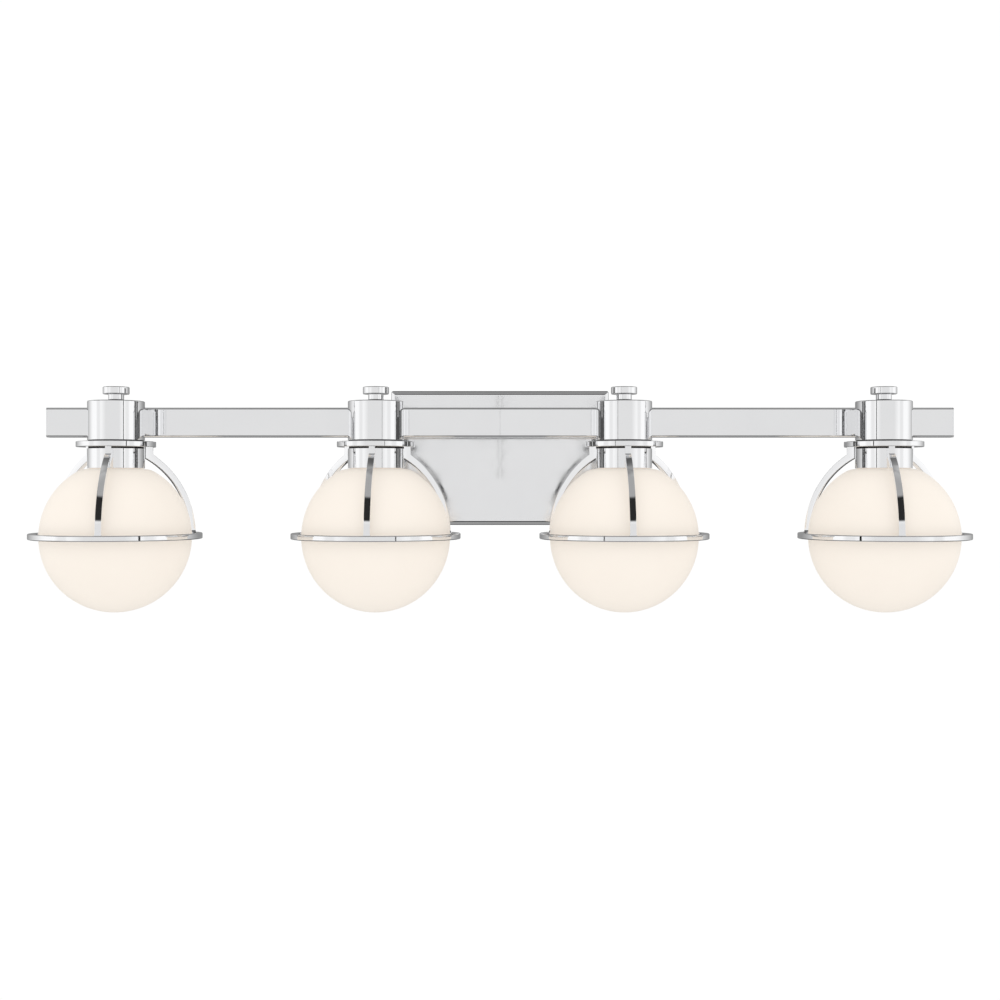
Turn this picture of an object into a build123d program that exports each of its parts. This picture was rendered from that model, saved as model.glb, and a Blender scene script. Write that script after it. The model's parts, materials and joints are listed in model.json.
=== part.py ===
from build123d import *
from math import cos, radians, sin
import os

# Four-light bath vanity bar in polished chrome: a wall pan carries a horizontal
# bar on two stand-offs, and the bar carries four cups, each with a cage of three
# ribs and a ring round an opal glass globe.
# Millimetres. Origin: wall plane, centre of the back plate. +Z up, front faces -Y.
# Screw threads are left as plain cylinders.

os.makedirs("parts", exist_ok=True)

# ---- places of the main pieces
lamp_xs = (-360.8, -116.6, 116.6, 360.8)
lamp_y = -97.0
bar_z = 33.8

# ---- back plate, a pan open towards the wall
plate_width = 216.6
plate_height = 133.4
plate_depth = 22.0
plate_wall = 1.5
plate_edge_radius = 3.0
plate_corner_radius = 2.0
side_screw_y = -9.0
side_screw_r = 1.7
side_screw_hole_r = 2.0
side_screw_length = 7.5
side_screw_head_r = 3.2
side_screw_head_height = 1.8

# ---- mounting strap, bolted to a wall box
strap_height = 19.0
strap_thickness = 2.0
strap_end_gap = 0.2
ear_depth = 14.0
slot_spacing = 88.9
slot_length = 22.0
slot_width = 4.8
ground_screw_x = 22.0
ground_screw_r = 2.0
ground_screw_head_r = 4.0
ground_screw_head_height = 2.2
driver_slot_width = 1.0
driver_slot_depth = 1.0

# ---- stand-offs between back plate and bar
standoff_xs = (-70.0, 70.0)
standoff_r = 11.0
standoff_bore_r = 5.2
standoff_length = 18.0
nipple_r = 4.85
nipple_bore_r = 3.4
nipple_hole_r = 4.95
nipple_front_end = 3.0
nipple_rear_end = 9.0
locknut_flats = 15.0
locknut_thickness = 3.0

# ---- bar, a rectangular tube
bar_length = 881.5
bar_height = 28.8
bar_depth = 14.0
bar_corner_radius = 2.0
bar_wall = 1.5
cap_thickness = 1.5
spigot_gap = 0.1
spigot_length = 6.0
spigot_wall = 1.2

# ---- arm block between bar and cup
arm_half_width = 20.0
arm_height = 25.0
arm_edge_radius = 1.2
arm_end_y = lamp_y + 17.0
lead_channel_r = 5.0

# ---- upper cup
cup_r = 26.25
cup_wall = 1.6
cup_top_z = 51.7
cup_top_thickness = 2.0
cup_edge_radius = 0.9
rod_hole_r = 5.0
cup_screw_rise = 8.5
cup_screw_r = 1.95
cup_screw_hole_r = 2.1
cup_screw_length = 9.6
cup_screw_head_r = 3.0
cup_screw_head_height = 2.2
cup_screw_seat = 24.4

# ---- cage: collar, three ribs and a ring, brazed into one piece
collar_top_z = 13.8
collar_thickness = 5.3
collar_r = 36.5
collar_bore_r = 24.7
soft_edge = 0.5
globe_z = -75.7
ring_z = -74.9
ring_height = 5.5
ring_r = 79.5
ring_bore_r = 72.3
rib_width = 5.8
rib_inner_leg_r = 27.5
rib_outer_leg_r = 35.0
rib_inner_rise = 74.3
rib_outer_rise = 77.6
rib_inner_foot_r = 72.3
rib_outer_foot_r = 77.5
rib_fillet = 1.6
rib_foot_depth = 3.8
foot_inset = 0.1
rib_embed = 1.0
# one rib at the front, the others a third of a turn to each side of it
rib_angles = (-90, 30, 150)
# each cage was tightened by hand and stands a little off square
cage_turns = (3.5, -1.1, 1.1, -3.5)

# ---- lower cup, which screws up into the upper cup and takes the glass neck
rim_z = -11.5
groove_height = 1.0
groove_depth = 1.0
lower_cup_bore_r = 24.85
lip_bottom_z = 5.2
lip_r = 20.6
spigot_r = 24.6
spigot_bore_r = 22.6
spigot_top_z = 20.0

# ---- finial on top of the cup
finial_neck_r = 7.25
finial_neck_height = 6.5
finial_head_r = 12.25
finial_head_height = 6.9
finial_bore_r = 4.93
finial_bore_depth = 8.5
finial_edge = 0.6

# ---- lampholder and its metal parts
rod_bottom_z = 38.0
rod_top_z = 59.0
holder_r = 19.5
holder_bottom_z = -6.0
holder_shoulder_z = 40.0
holder_neck_r = 9.0
holder_cavity_r = 14.2
holder_cavity_top_z = 24.0
holder_edge = 1.0
terminal_r = 3.2
terminal_depth = 2.5
shell_r = 14.0
shell_wall = 0.6
shell_bottom_z = 0.0
shell_hole_r = 6.0
contact_r = 2.5
contact_height = 2.0

# ---- bulb, a candle-shaped lamp on a medium screw cap
bulb_cap_r = 13.0
bulb_cap_bottom_z = -3.0
bulb_cap_shoulder_z = 16.0
bulb_cap_cone_r = 6.0
bulb_cap_cone_z = 19.6
bulb_tip_r = 4.5
bulb_tip_z = 21.7
bulb_body_r = 17.5
bulb_body_z = -34.0
bulb_end_z = -78.0
bulb_wall = 1.2

# ---- globe of opal glass with a plain neck
globe_r = 70.9
globe_wall = 3.0
globe_neck_r = 24.3
globe_neck_bore_r = 21.6
globe_neck_top_z = 3.7
shoulder_start_angle = 59.5
shoulder_z = -12.0
shoulder_inner_z = -14.7
gasket_bore_r = 21.8
gasket_r = 24.5

# ---- wires, two to each lamp, and the connectors that end them
lead_r = 0.9
lead_offset = 1.0
lead_bend = 7.0
lead_start_inset = 2.5
pan_bend = 6.5
pan_lead_y = -8.0
jog_top_z = 22.0
jog_bottom_z = 12.0
jog_bend = 6.0
connector_offset = 7.0
connector_top_z = 9.0
connector_bottom_z = -9.0
connector_top_r = 5.4
connector_bottom_r = 3.6
connector_bore_r = 2.9
connector_edge = 0.8
lead_end_z = 0.0
ground_lead_r = 0.8
ground_lead_y = -3.0
ground_lead_top_z = 24.0
ground_lead_bend = 6.0

# ---- worked out from the sizes above
bar_back_y = -plate_depth - standoff_length
bar_front_y = bar_back_y - bar_depth
bar_mid_y = bar_back_y - bar_depth / 2
plate_inner_y = -plate_depth + plate_wall
strap_half_length = plate_width / 2 - plate_wall - strap_end_gap
cup_bore_r = cup_r - cup_wall
collar_bottom_z = collar_top_z - collar_thickness
ring_top_z = ring_z + ring_height / 2
tube_length = bar_length - 2 * cap_thickness


def save(part, name):
    """Label one finished piece and write it as a STEP file."""
    part.label = name
    export_step(part, f"parts/{name}.step")


def side_plane(x, y=lamp_y):
    """Upright plane through (x, y): local x runs along +X and local y along +Z."""
    return Plane(origin=(x, y, 0), x_dir=(1, 0, 0), z_dir=(0, -1, 0))


def level_plane(x, z, y=lamp_y):
    """Horizontal plane at height z, centred over (x, y)."""
    return Plane(origin=(x, y, z))


def facing_wall(x, y, z):
    """Upright plane at (x, y, z) whose normal points at the wall."""
    return Plane(origin=(x, y, z), x_dir=(-1, 0, 0), z_dir=(0, 1, 0))


def lamp_axis(x):
    """Upright axis of the lamp at x."""
    return Axis((x, lamp_y, 0), (0, 0, 1))


# ================= wall side =================

def make_back_plate():
    """Pan with softened front edges, two stand-off holes and two side holes."""
    with BuildPart() as pan:
        with BuildSketch(facing_wall(0, -plate_depth, 0)):
            RectangleRounded(plate_width, plate_height, plate_corner_radius)
        extrude(amount=plate_depth)
        fillet(pan.faces().sort_by(Axis.Y)[0].edges(), plate_edge_radius)
        with BuildSketch(facing_wall(0, plate_inner_y, 0)):
            RectangleRounded(plate_width - 2 * plate_wall, plate_height - 2 * plate_wall, plate_wall)
        extrude(amount=-plate_inner_y, mode=Mode.SUBTRACT)
        with BuildSketch(facing_wall(0, -plate_depth, bar_z)):
            with Locations(*[(x, 0) for x in standoff_xs]):
                Circle(nipple_hole_r)
        extrude(amount=plate_wall, mode=Mode.SUBTRACT)
        with BuildSketch(Plane.YZ):
            with Locations((side_screw_y, 0)):
                Circle(side_screw_hole_r)
        extrude(amount=plate_width / 2, both=True, mode=Mode.SUBTRACT)
    return pan.part


def make_mounting_strap():
    """Flat strap with two slots for the wall box and an ear at each end."""
    with BuildPart() as strap:
        with BuildSketch(facing_wall(0, -strap_thickness, 0)):
            Rectangle(2 * strap_half_length, strap_height)
            with Locations((-slot_spacing / 2, 0), (slot_spacing / 2, 0)):
                SlotOverall(slot_length, slot_width, mode=Mode.SUBTRACT)
            with Locations((-ground_screw_x, 0)):
                Circle(ground_screw_r, mode=Mode.SUBTRACT)
        extrude(amount=strap_thickness)
        ear_x = strap_half_length - strap_thickness / 2
        with BuildSketch(facing_wall(0, -ear_depth, 0)):
            with Locations((-ear_x, 0), (ear_x, 0)):
                Rectangle(strap_thickness, strap_height)
        extrude(amount=ear_depth)
        with BuildSketch(Plane.YZ):
            with Locations((side_screw_y, 0)):
                Circle(side_screw_r)
        extrude(amount=strap_half_length, both=True, mode=Mode.SUBTRACT)
    return strap.part


def make_side_screws():
    """Two pan-head screws that hold the back plate to the strap's ears."""
    with BuildPart() as screws:
        for side in (-1, 1):
            seat = Plane(origin=(side * plate_width / 2, side_screw_y, 0), z_dir=(side, 0, 0))
            with BuildSketch(seat):
                Circle(side_screw_head_r)
            extrude(amount=side_screw_head_height)
            with BuildSketch(seat):
                Circle(side_screw_r)
            extrude(amount=-side_screw_length)
            with BuildSketch(seat.offset(side_screw_head_height)):
                Rectangle(2 * side_screw_head_r, driver_slot_width)
            extrude(amount=-driver_slot_depth, mode=Mode.SUBTRACT)
    return screws.part


def make_ground_screw():
    """Green earth screw in the strap."""
    seat = facing_wall(ground_screw_x, -strap_thickness, 0)
    with BuildPart() as screw:
        with BuildSketch(seat):
            Circle(ground_screw_r)
        extrude(amount=strap_thickness)
        with BuildSketch(seat):
            Circle(ground_screw_head_r)
        extrude(amount=-ground_screw_head_height)
        with BuildSketch(seat.offset(-ground_screw_head_height)):
            Rectangle(2 * ground_screw_head_r, driver_slot_width)
        extrude(amount=driver_slot_depth, mode=Mode.SUBTRACT)
    return screw.part


def make_standoff(x):
    """Round tube that holds the bar off the back plate."""
    with BuildPart() as standoff:
        with BuildSketch(facing_wall(x, bar_back_y, bar_z)):
            Circle(standoff_r)
            Circle(standoff_bore_r, mode=Mode.SUBTRACT)
        extrude(amount=standoff_length)
    return standoff.part


def make_threaded_nipples():
    """Hollow nipples: two through the stand-offs and one down each lampholder."""
    with BuildPart() as nipples:
        front_y = bar_back_y - nipple_front_end
        for x in standoff_xs:
            with BuildSketch(facing_wall(x, front_y, bar_z)):
                Circle(nipple_r)
                Circle(nipple_bore_r, mode=Mode.SUBTRACT)
            extrude(amount=-front_y - plate_depth + nipple_rear_end)
        for x in lamp_xs:
            with BuildSketch(level_plane(x, rod_bottom_z)):
                Circle(nipple_r)
                Circle(nipple_bore_r, mode=Mode.SUBTRACT)
            extrude(amount=rod_top_z - rod_bottom_z)
    return nipples.part


def make_locknuts():
    """Hexagon nuts that clamp the stand-off nipples inside the pan."""
    with BuildPart() as nuts:
        for x in standoff_xs:
            with BuildSketch(facing_wall(x, plate_inner_y, bar_z)):
                RegularPolygon(locknut_flats / 2, 6, major_radius=False)
                Circle(nipple_hole_r, mode=Mode.SUBTRACT)
            extrude(amount=locknut_thickness)
    return nuts.part


# ================= bar =================

def make_bar():
    """Rectangular tube with a wire hole at each arm and at each stand-off."""
    end = Plane(origin=(-tube_length / 2, bar_mid_y, bar_z), x_dir=(0, 1, 0), z_dir=(1, 0, 0))
    with BuildPart() as bar:
        with BuildSketch(end):
            RectangleRounded(bar_depth, bar_height, bar_corner_radius)
            RectangleRounded(
                bar_depth - 2 * bar_wall, bar_height - 2 * bar_wall, bar_wall / 3, mode=Mode.SUBTRACT
            )
        extrude(amount=tube_length)
        with BuildSketch(facing_wall(0, bar_front_y, bar_z)):
            with Locations(*[(x, 0) for x in lamp_xs]):
                Circle(lead_channel_r)
        extrude(amount=bar_wall, mode=Mode.SUBTRACT)
        with BuildSketch(facing_wall(0, bar_back_y - bar_wall, bar_z)):
            with Locations(*[(x, 0) for x in standoff_xs]):
                Circle(nipple_hole_r)
        extrude(amount=bar_wall, mode=Mode.SUBTRACT)
    return bar.part


def make_end_cap(side):
    """Cap flush with the tube, with a hollow spigot pushed inside it."""
    seat = Plane(
        origin=(side * tube_length / 2, bar_mid_y, bar_z), x_dir=(0, 1, 0), z_dir=(side, 0, 0)
    )
    fit_depth = bar_depth - 2 * bar_wall - 2 * spigot_gap
    fit_height = bar_height - 2 * bar_wall - 2 * spigot_gap
    with BuildPart() as cap:
        with BuildSketch(seat):
            RectangleRounded(bar_depth, bar_height, bar_corner_radius)
        extrude(amount=cap_thickness)
        with BuildSketch(seat):
            RectangleRounded(fit_depth, fit_height, bar_wall / 3)
            Rectangle(fit_depth - 2 * spigot_wall, fit_height - 2 * spigot_wall, mode=Mode.SUBTRACT)
        extrude(amount=-spigot_length)
    return cap.part


def make_arm(x):
    """Die-cast block with a saddle for the cup, a wire channel and two tapped holes."""
    with BuildPart() as arm:
        with BuildSketch(facing_wall(x, arm_end_y, bar_z)):
            RectangleRounded(2 * arm_half_width, arm_height, arm_edge_radius)
        extrude(amount=bar_front_y - arm_end_y)
        with BuildSketch(level_plane(x, bar_z - arm_height / 2)):
            Circle(cup_r)
        extrude(amount=arm_height, mode=Mode.SUBTRACT)
        with BuildSketch(facing_wall(x, lamp_y, bar_z)):
            Circle(lead_channel_r)
        extrude(amount=bar_front_y - lamp_y, mode=Mode.SUBTRACT)
        with BuildSketch(facing_wall(x, lamp_y + cup_screw_seat, bar_z)):
            with Locations((0, -cup_screw_rise), (0, cup_screw_rise)):
                Circle(cup_screw_r)
        extrude(amount=cup_screw_length, mode=Mode.SUBTRACT)
    return arm.part


# ================= one lamp =================

def make_upper_cup(x):
    """Closed-top cup with a softened top edge."""
    with BuildPart() as cup:
        with BuildSketch(level_plane(x, collar_top_z)):
            Circle(cup_r)
        extrude(amount=cup_top_z - collar_top_z)
        fillet(cup.faces().sort_by(Axis.Z)[-1].edges(), cup_edge_radius)
        with BuildSketch(level_plane(x, collar_top_z)):
            Circle(cup_bore_r)
        extrude(amount=cup_top_z - collar_top_z - cup_top_thickness, mode=Mode.SUBTRACT)
        with BuildSketch(level_plane(x, cup_top_z - cup_top_thickness)):
            Circle(rod_hole_r)
        extrude(amount=cup_top_thickness, mode=Mode.SUBTRACT)
        with BuildSketch(facing_wall(x, lamp_y, bar_z)):
            Circle(lead_channel_r)
            with Locations((0, -cup_screw_rise), (0, cup_screw_rise)):
                Circle(cup_screw_hole_r)
        extrude(amount=cup_r, mode=Mode.SUBTRACT)
    return cup.part


def make_cup_screws():
    """Two screws inside each cup, through its back wall into the arm."""
    with BuildPart() as screws:
        for x in lamp_xs:
            seat = facing_wall(x, lamp_y + cup_screw_seat, bar_z)
            for rise in (-cup_screw_rise, cup_screw_rise):
                with BuildSketch(seat):
                    with Locations((0, rise)):
                        Circle(cup_screw_r)
                extrude(amount=cup_screw_length)
                with BuildSketch(seat):
                    with Locations((0, rise)):
                        Circle(cup_screw_head_r)
                extrude(amount=-cup_screw_head_height)
                with BuildSketch(seat.offset(-cup_screw_head_height)):
                    with Locations((0, rise)):
                        Rectangle(2 * cup_screw_head_r, driver_slot_width)
                extrude(amount=driver_slot_depth, mode=Mode.SUBTRACT)
    return screws.part


def circle_on_level(inner_r, leg_r, rise):
    """Centre and radius of the circle that stands upright at inner_r on the globe's
    level and passes through leg_r at the height rise above it."""
    centre = (inner_r**2 - leg_r**2 - rise**2) / (2 * (inner_r - leg_r))
    return centre, inner_r - centre


def rib_arc(foot_r, leg_r, rise):
    """Arc in the rib's plane from the leg's bend down to the globe's level."""
    centre, radius = circle_on_level(foot_r, leg_r, rise)
    bend_angle = Vector(1, 0, 0).get_angle(Vector(leg_r - centre, rise, 0))
    middle = radians(bend_angle / 2)
    halfway = (centre + radius * cos(middle), globe_z + radius * sin(middle))
    return ThreePointArc((leg_r, globe_z + rise), halfway, (foot_r, globe_z))


def make_cage(x, turn):
    """Collar, three ribs and ring in one brazed piece, turned a little about its axis."""
    with BuildPart() as cage:
        with BuildSketch(level_plane(x, ring_z)):
            Circle(ring_r)
            Circle(ring_bore_r, mode=Mode.SUBTRACT)
        extrude(amount=ring_height / 2, both=True)
        fillet(cage.edges().filter_by(GeomType.CIRCLE).sort_by(SortBy.RADIUS)[-2:], soft_edge)
        with BuildSketch(level_plane(x, collar_bottom_z)):
            Circle(collar_r)
        extrude(amount=collar_thickness)
        collar_edges = cage.edges().filter_by_position(Axis.Z, collar_bottom_z - 1, collar_top_z + 1)
        fillet(collar_edges.filter_by(GeomType.CIRCLE), soft_edge)
        rib_planes = []
        foot_planes = []
        for angle in rib_angles:
            heading = radians(angle + turn)
            outward = Vector(cos(heading), sin(heading), 0)
            across = Vector(sin(heading), -cos(heading), 0)
            axis_point = Vector(x, lamp_y, 0)
            rib_planes.append(Plane(origin=axis_point, x_dir=outward, z_dir=across))
            foot_point = axis_point + outward * (ring_bore_r + foot_inset)
            foot_planes.append(Plane(origin=foot_point, x_dir=-across, z_dir=outward))
        with BuildSketch(*rib_planes):
            with BuildLine():
                inner = rib_arc(rib_inner_foot_r, rib_inner_leg_r, rib_inner_rise)
                outer = rib_arc(rib_outer_foot_r, rib_outer_leg_r, rib_outer_rise)
                leg_top_z = collar_bottom_z + rib_embed
                Polyline(inner @ 0, (rib_inner_leg_r, leg_top_z), (rib_outer_leg_r, leg_top_z), outer @ 0)
                Line(inner @ 1, outer @ 1)
            make_face()
        extrude(amount=rib_width / 2, both=True)
        with BuildSketch(*foot_planes):
            with BuildLine():
                half = rib_width / 2
                flare_z = ring_top_z + rib_fillet
                left = CenterArc((-half - rib_fillet, flare_z), rib_fillet, -90, 90)
                right = CenterArc((half + rib_fillet, flare_z), rib_fillet, 180, 90)
                Line(left @ 1, right @ 0)
                Polyline(left @ 0, (-half - rib_fillet, ring_z), (half + rib_fillet, ring_z), right @ 1)
            make_face()
        extrude(amount=rib_foot_depth)
        with BuildSketch(level_plane(x, collar_bottom_z)):
            Circle(collar_bore_r)
        extrude(amount=collar_thickness, mode=Mode.SUBTRACT)
    return cage.part


def make_lower_cup(x):
    """Cup below the collar: a groove and a screwed spigot above, a lip for the gasket inside."""
    with BuildPart() as cup:
        with BuildSketch(side_plane(x)):
            with BuildLine():
                Polyline(
                    (cup_r, rim_z),
                    (cup_r, collar_bottom_z - groove_height),
                    (cup_r - groove_depth, collar_bottom_z - groove_height),
                    (cup_r - groove_depth, collar_bottom_z),
                    (spigot_r, collar_bottom_z),
                    (spigot_r, spigot_top_z),
                    (spigot_bore_r, spigot_top_z),
                    (spigot_bore_r, collar_bottom_z),
                    (lip_r, collar_bottom_z),
                    (lip_r, lip_bottom_z),
                    (lower_cup_bore_r, lip_bottom_z),
                    (lower_cup_bore_r, rim_z),
                    close=True,
                )
            make_face()
        revolve(axis=lamp_axis(x))
    return cup.part


def make_finial(x):
    """Turned knob that screws onto the nipple and clamps the cup."""
    with BuildPart() as finial:
        with BuildSketch(level_plane(x, cup_top_z)):
            Circle(finial_neck_r)
        extrude(amount=finial_neck_height)
        with BuildSketch(level_plane(x, cup_top_z + finial_neck_height)):
            Circle(finial_head_r)
        extrude(amount=finial_head_height)
        head_edges = finial.edges().filter_by(GeomType.CIRCLE).sort_by(SortBy.RADIUS)[-2:]
        fillet(head_edges, finial_edge)
        with BuildSketch(level_plane(x, cup_top_z)):
            Circle(finial_bore_r)
        extrude(amount=finial_bore_depth, mode=Mode.SUBTRACT)
    return finial.part


def make_lampholder(x):
    """Porcelain lampholder, closed at the top, with a terminal opening at the back."""
    with BuildPart() as holder:
        with BuildSketch(level_plane(x, holder_bottom_z)):
            Circle(holder_r)
        extrude(amount=holder_shoulder_z - holder_bottom_z)
        chamfer(holder.edges().filter_by(GeomType.CIRCLE), holder_edge)
        with BuildSketch(level_plane(x, holder_shoulder_z)):
            Circle(holder_neck_r)
        extrude(amount=cup_top_z - cup_top_thickness - holder_shoulder_z)
        with BuildSketch(level_plane(x, rod_bottom_z)):
            Circle(nipple_hole_r)
        extrude(amount=cup_top_z - rod_bottom_z, mode=Mode.SUBTRACT)
        with BuildSketch(level_plane(x, holder_bottom_z)):
            Circle(holder_cavity_r)
        extrude(amount=holder_cavity_top_z - holder_bottom_z, mode=Mode.SUBTRACT)
        with BuildSketch(facing_wall(x, lamp_y + holder_r - terminal_depth, bar_z)):
            Circle(terminal_r)
        extrude(amount=2 * terminal_depth, mode=Mode.SUBTRACT)
    return holder.part


def make_socket_contacts():
    """Threaded shell and centre contact of each lampholder."""
    with BuildPart() as contacts:
        for x in lamp_xs:
            with BuildSketch(level_plane(x, shell_bottom_z)):
                Circle(shell_r)
            extrude(amount=holder_cavity_top_z - shell_bottom_z)
            with BuildSketch(level_plane(x, shell_bottom_z)):
                Circle(shell_r - shell_wall)
            extrude(amount=holder_cavity_top_z - shell_bottom_z - shell_wall, mode=Mode.SUBTRACT)
            with BuildSketch(level_plane(x, holder_cavity_top_z - shell_wall)):
                Circle(shell_hole_r)
            extrude(amount=shell_wall, mode=Mode.SUBTRACT)
            with BuildSketch(level_plane(x, holder_cavity_top_z - contact_height)):
                Circle(contact_r)
            extrude(amount=contact_height)
    return contacts.part


def make_bulb_base(x):
    """Metal screw cap of the bulb, with its contact tip upwards."""
    with BuildPart() as cap:
        with BuildSketch(side_plane(x)):
            with BuildLine():
                Polyline(
                    (0, bulb_cap_bottom_z),
                    (bulb_cap_r, bulb_cap_bottom_z),
                    (bulb_cap_r, bulb_cap_shoulder_z),
                    (bulb_cap_cone_r, bulb_cap_cone_z),
                    (bulb_tip_r, bulb_tip_z),
                    (0, bulb_tip_z),
                    close=True,
                )
            make_face()
        revolve(axis=lamp_axis(x))
    return cap.part


def bulb_outline(inset):
    """Half outline of the bulb's envelope, drawn inset from its outer surface."""
    neck = (bulb_cap_r - inset, bulb_cap_bottom_z)
    waist = (bulb_body_r - inset, bulb_body_z)
    end = (0, bulb_end_z + inset)
    upper = Spline(neck, waist, tangents=((0, -1), (0, -1)))
    lower = Spline(waist, end, tangents=((0, -1), (-1, 0)))
    Polyline(upper @ 0, (0, bulb_cap_bottom_z), lower @ 1)


def make_bulb_glass(x):
    """Candle-shaped frosted envelope, hollow, below the cap."""
    with BuildPart() as envelope:
        with BuildSketch(side_plane(x)):
            with BuildLine():
                bulb_outline(0)
            make_face()
            with BuildLine():
                bulb_outline(bulb_wall)
            make_face(mode=Mode.SUBTRACT)
        revolve(axis=lamp_axis(x))
    return envelope.part


def make_globe(x):
    """Opal glass globe: a sphere with a flatter shoulder and a neck, open at the top."""
    inner_r = globe_r - globe_wall
    centre = (0, globe_z)
    sweep_angle = 90 + shoulder_start_angle
    with BuildPart() as globe:
        with BuildSketch(side_plane(x)):
            with BuildLine():
                outer = CenterArc(centre, globe_r, -90, sweep_angle)
                outer_shoulder = TangentArc(outer @ 1, (globe_neck_r, shoulder_z), tangent=outer % 1)
                inner = CenterArc(centre, inner_r, -90, sweep_angle)
                inner_shoulder = TangentArc(
                    inner @ 1, (globe_neck_bore_r, shoulder_inner_z), tangent=inner % 1
                )
                Polyline(
                    outer_shoulder @ 1,
                    (globe_neck_r, globe_neck_top_z),
                    (globe_neck_bore_r, globe_neck_top_z),
                    inner_shoulder @ 1,
                )
                Line(inner @ 0, outer @ 0)
            make_face()
        revolve(axis=lamp_axis(x))
    return globe.part


def make_gasket(x):
    """Silicone ring between the glass neck and the lower cup's lip."""
    with BuildPart() as gasket:
        with BuildSketch(level_plane(x, globe_neck_top_z)):
            Circle(gasket_r)
            Circle(gasket_bore_r, mode=Mode.SUBTRACT)
        extrude(amount=lip_bottom_z - globe_neck_top_z)
    return gasket.part


# ================= wires =================

def make_leads(x, standoff_x, level):
    """Two wires from one lampholder along the bar, through the stand-off's nipple
    and down to the connectors. level is 1 for the upper pair and -1 for the lower."""
    way = 1 if standoff_x > x else -1
    z = bar_z + level * lead_offset
    pan_y = pan_lead_y + level * lead_offset
    start_y = lamp_y + holder_r - lead_start_inset
    with BuildPart() as leads:
        for side in (-1, 1):
            shift = side * lead_offset
            lamp_end_x = x - way * shift
            pan_x = standoff_x - way * shift
            connector_x = standoff_x - way * side * connector_offset
            run_y = bar_mid_y + shift
            with BuildLine():
                route = FilletPolyline(
                    (lamp_end_x, start_y, z),
                    (lamp_end_x, run_y, z),
                    (pan_x, run_y, z),
                    (pan_x, pan_y, z),
                    (pan_x, pan_y, jog_top_z),
                    (connector_x, pan_y, jog_bottom_z),
                    (connector_x, pan_y, lead_end_z),
                    radius=[
                        lead_bend + shift,
                        lead_bend - shift,
                        pan_bend + level * lead_offset,
                        jog_bend,
                        jog_bend,
                    ],
                )
            with BuildSketch(Plane(origin=route @ 0, z_dir=route % 0)):
                Circle(lead_r)
            sweep(path=route)
    return leads.part


def make_wire_connectors():
    """Four twist-on connectors, one for each pair of wire ends."""
    with BuildPart() as connectors:
        for standoff_x in standoff_xs:
            for side in (-1, 1):
                x = standoff_x + side * connector_offset
                with BuildSketch(side_plane(x, pan_lead_y)):
                    with BuildLine():
                        Polyline(
                            (0, connector_bottom_z),
                            (connector_bottom_r - connector_edge, connector_bottom_z),
                            (connector_bottom_r, connector_bottom_z + connector_edge),
                            (connector_top_r, connector_top_z),
                            (connector_bore_r, connector_top_z),
                            (connector_bore_r, lead_end_z),
                            (0, lead_end_z),
                            close=True,
                        )
                    make_face()
                revolve(axis=Axis((x, pan_lead_y, 0), (0, 0, 1)))
    return connectors.part


def make_ground_lead():
    """Earth wire from the strap's screw to the back plate."""
    with BuildPart() as lead:
        with BuildLine():
            route = FilletPolyline(
                (ground_screw_x, ground_lead_y, ground_screw_head_r),
                (ground_screw_x, ground_lead_y, ground_lead_top_z),
                (ground_screw_x, plate_inner_y, ground_lead_top_z),
                radius=ground_lead_bend,
            )
        with BuildSketch(Plane(origin=route @ 0, z_dir=route % 0)):
            Circle(ground_lead_r)
        sweep(path=route)
    return lead.part


save(make_back_plate(), "back_plate")
save(make_mounting_strap(), "mounting_strap")
save(make_side_screws(), "plate_side_screws")
save(make_ground_screw(), "ground_screw")
save(make_ground_lead(), "ground_lead")
save(make_threaded_nipples(), "threaded_nipples")
save(make_locknuts(), "nipple_locknuts")
save(make_wire_connectors(), "wire_connectors")
save(make_bar(), "bar_tube")
save(make_cup_screws(), "cup_screws")
save(make_socket_contacts(), "socket_contacts")

for number, (x, side) in enumerate(zip(standoff_xs, (-1, 1)), start=1):
    save(make_standoff(x), f"standoff_{number}")
    save(make_end_cap(side), f"bar_end_cap_{number}")

for number, (x, turn) in enumerate(zip(lamp_xs, cage_turns), start=1):
    save(make_arm(x), f"arm_{number}")
    save(make_upper_cup(x), f"upper_cup_{number}")
    save(make_cage(x, turn), f"cage_{number}")
    save(make_lower_cup(x), f"lower_cup_{number}")
    save(make_finial(x), f"finial_{number}")
    save(make_lampholder(x), f"lampholder_{number}")
    save(make_bulb_base(x), f"bulb_base_{number}")
    save(make_bulb_glass(x), f"bulb_glass_{number}")
    save(make_globe(x), f"globe_{number}")
    save(make_gasket(x), f"gasket_{number}")
    near_standoff = min(standoff_xs, key=lambda place: abs(place - x))
    outer = abs(x) == max(lamp_xs)
    save(make_leads(x, near_standoff, 1 if outer else -1), f"lamp_leads_{number}")
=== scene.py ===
import json
import math

import bmesh
import bpy
from mathutils import Matrix, Vector

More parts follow.
